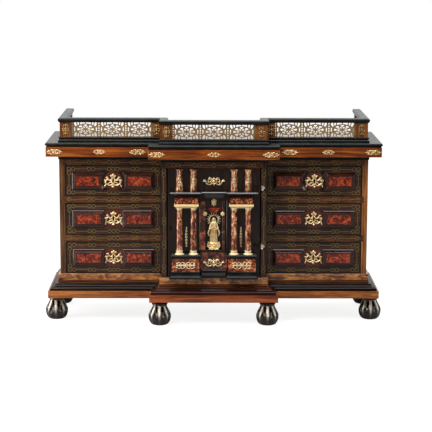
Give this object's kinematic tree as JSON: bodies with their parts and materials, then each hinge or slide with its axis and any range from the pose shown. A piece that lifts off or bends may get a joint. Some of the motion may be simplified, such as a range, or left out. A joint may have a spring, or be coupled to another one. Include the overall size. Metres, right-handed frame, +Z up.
{
  "type": "table cabinet",
  "caption": "Breakfront table cabinet for coins with drawers in both wings, a columned door in the middle, ball feet and a pierced gallery.",
  "frame": {"origin": "on the floor under the middle of the bounding box", "axes": "+X to the right as seen from the front, +Y to the back, +Z up; the door and drawers face -Y"},
  "size_m": [1.018, 0.36, 0.613],
  "materials": {
    "ebonised_wood": "polished, nearly black",
    "rosewood_veneer": "dark, polished, inlaid with thin brass lines and rings",
    "walnut": "polished",
    "mahogany_veneer": "polished orange-brown",
    "burr_veneer": "polished, mottled",
    "carcass_wood": "plain, waxed",
    "tortoiseshell": "glossy, mottled red-brown",
    "bone": "pale, polished",
    "gilt_brass": "gilt, worn",
    "iron": "dark, worn"
  },
  "bodies": {
    "carcass": {"feet": "ebonised_wood", "plinth_core": "carcass_wood", "plinth_band": "mahogany_veneer", "plinth_ogee": "ebonised_wood", "plinth_burl_facing": "burr_veneer", "deck_board": "carcass_wood", "side_board_left": "walnut", "side_board_right": "walnut", "cheek_left": "rosewood_veneer", "cheek_right": "rosewood_veneer", "back_board": "carcass_wood", "front_rails": "rosewood_veneer", "dust_boards": "carcass_wood", "centre_shelf": "carcass_wood", "top_board": "carcass_wood", "bed_mould": "ebonised_wood", "cornice_core": "carcass_wood", "frieze": "mahogany_veneer", "top_slab": "ebonised_wood", "gilt_mounts": "gilt_brass", "gallery_base_rail": "ebonised_wood", "gallery_posts": "mahogany_veneer", "gallery_frets": "gilt_brass", "gallery_top_rail": "ebonised_wood", "hinge_plates_and_pins": "iron"},
    "door": {"door_board": "rosewood_veneer", "door_shell_blocks": "tortoiseshell", "door_ebony_mouldings": "ebonised_wood", "door_middle_cornice": "ebonised_wood", "door_column_shafts": "tortoiseshell", "door_bone_fittings": "bone", "door_upper_pilasters": "tortoiseshell", "door_niche_figure": "gilt_brass", "door_mounts": "gilt_brass", "door_hinge_leaves": "iron", "door_lock": "iron"},
    "drawer_left_bottom": {"drawer_left_bottom_box": "carcass_wood", "drawer_left_bottom_front": "rosewood_veneer", "drawer_left_bottom_shell": "tortoiseshell", "drawer_left_bottom_lock": "gilt_brass"},
    "drawer_left_middle": {"drawer_left_middle_box": "carcass_wood", "drawer_left_middle_front": "rosewood_veneer", "drawer_left_middle_shell": "tortoiseshell", "drawer_left_middle_lock": "gilt_brass"},
    "drawer_left_top": {"drawer_left_top_box": "carcass_wood", "drawer_left_top_front": "rosewood_veneer", "drawer_left_top_shell": "tortoiseshell", "drawer_left_top_lock": "gilt_brass"},
    "drawer_right_bottom": {"drawer_right_bottom_box": "carcass_wood", "drawer_right_bottom_front": "rosewood_veneer", "drawer_right_bottom_shell": "tortoiseshell", "drawer_right_bottom_lock": "gilt_brass"},
    "drawer_right_middle": {"drawer_right_middle_box": "carcass_wood", "drawer_right_middle_front": "rosewood_veneer", "drawer_right_middle_shell": "tortoiseshell", "drawer_right_middle_lock": "gilt_brass"},
    "drawer_right_top": {"drawer_right_top_box": "carcass_wood", "drawer_right_top_front": "rosewood_veneer", "drawer_right_top_shell": "tortoiseshell", "drawer_right_top_lock": "gilt_brass"}
  },
  "joints": [
    {"name": "door_hinge", "type": "hinge", "parent": "carcass", "child": "door", "pos_m": [0.1368, -0.144, 0.32], "axis": [0, 0, -1], "range_deg": [-100, 0]},
    {"name": "drawer_left_bottom_slide", "type": "slide", "parent": "carcass", "child": "drawer_left_bottom", "axis": [0, -1, 0], "range_m": [0, 0.18]},
    {"name": "drawer_left_middle_slide", "type": "slide", "parent": "carcass", "child": "drawer_left_middle", "axis": [0, -1, 0], "range_m": [0, 0.18]},
    {"name": "drawer_left_top_slide", "type": "slide", "parent": "carcass", "child": "drawer_left_top", "axis": [0, -1, 0], "range_m": [0, 0.18]},
    {"name": "drawer_right_bottom_slide", "type": "slide", "parent": "carcass", "child": "drawer_right_bottom", "axis": [0, -1, 0], "range_m": [0, 0.18]},
    {"name": "drawer_right_middle_slide", "type": "slide", "parent": "carcass", "child": "drawer_right_middle", "axis": [0, -1, 0], "range_m": [0, 0.18]},
    {"name": "drawer_right_top_slide", "type": "slide", "parent": "carcass", "child": "drawer_right_top", "axis": [0, -1, 0], "range_m": [0, 0.18]}
  ]
}
